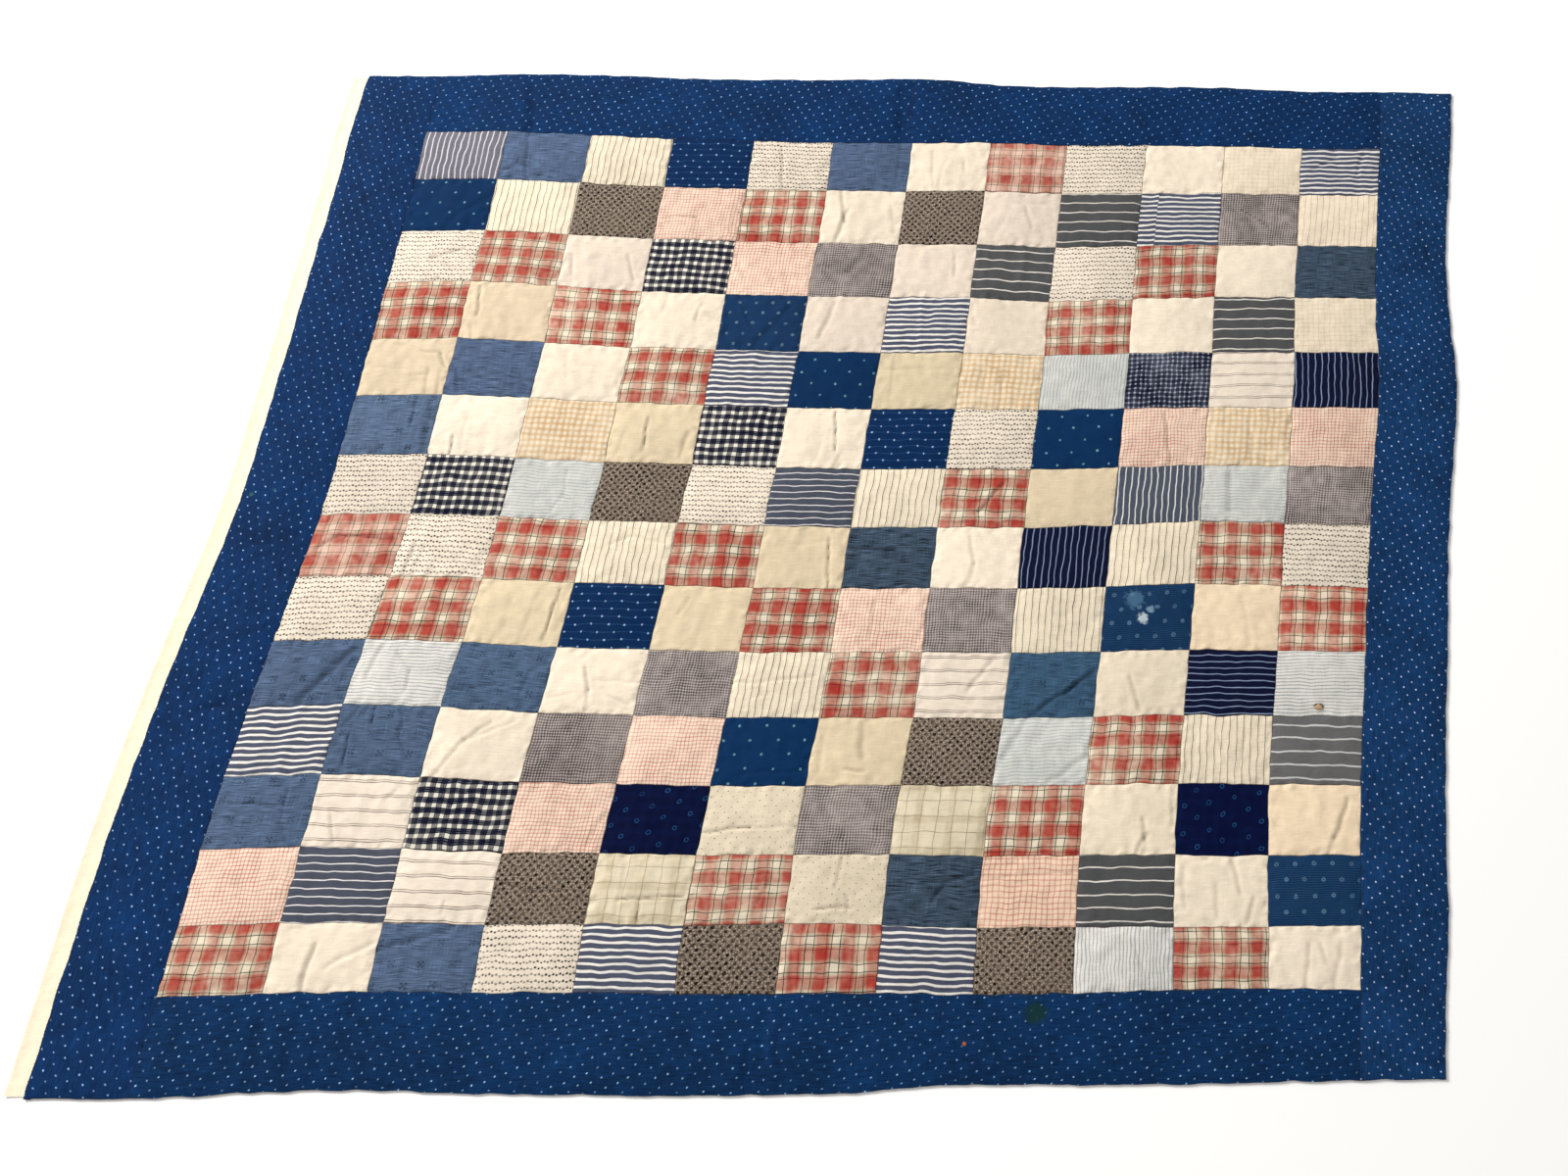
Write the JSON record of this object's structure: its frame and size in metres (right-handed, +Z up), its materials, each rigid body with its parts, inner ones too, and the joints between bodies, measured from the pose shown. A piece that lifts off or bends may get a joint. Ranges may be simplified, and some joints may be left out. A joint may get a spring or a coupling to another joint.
{
  "type": "pieced cotton bed quilt",
  "caption": "Thin hand-pieced scrap quilt lying flat: rectangular cotton patches inside a dark blue dotted border, on a plain cream backing.",
  "frame": {"origin": "on the surface that the quilt lies on, under the middle of its outline", "axes": "+X along the patch rows towards the right border, +Y towards the top border, +Z up out of the face"},
  "size_m": [2.1414, 1.7538, 0.0079],
  "materials": {
    "scrap_cotton": "washed, matt cotton scraps in many prints, checks and stripes",
    "dotted_border": "dark blue washed cotton with small pale dots",
    "cream_muslin": "plain cream cotton muslin, matt"
  },
  "bodies": {
    "root": {"patchwork": "scrap_cotton", "border_left": "dotted_border", "border_right": "dotted_border", "border_top_first": "dotted_border", "border_top_second": "dotted_border", "border_bottom_first": "dotted_border", "border_bottom_second": "dotted_border", "backing": "cream_muslin"}
  },
  "joints": []
}
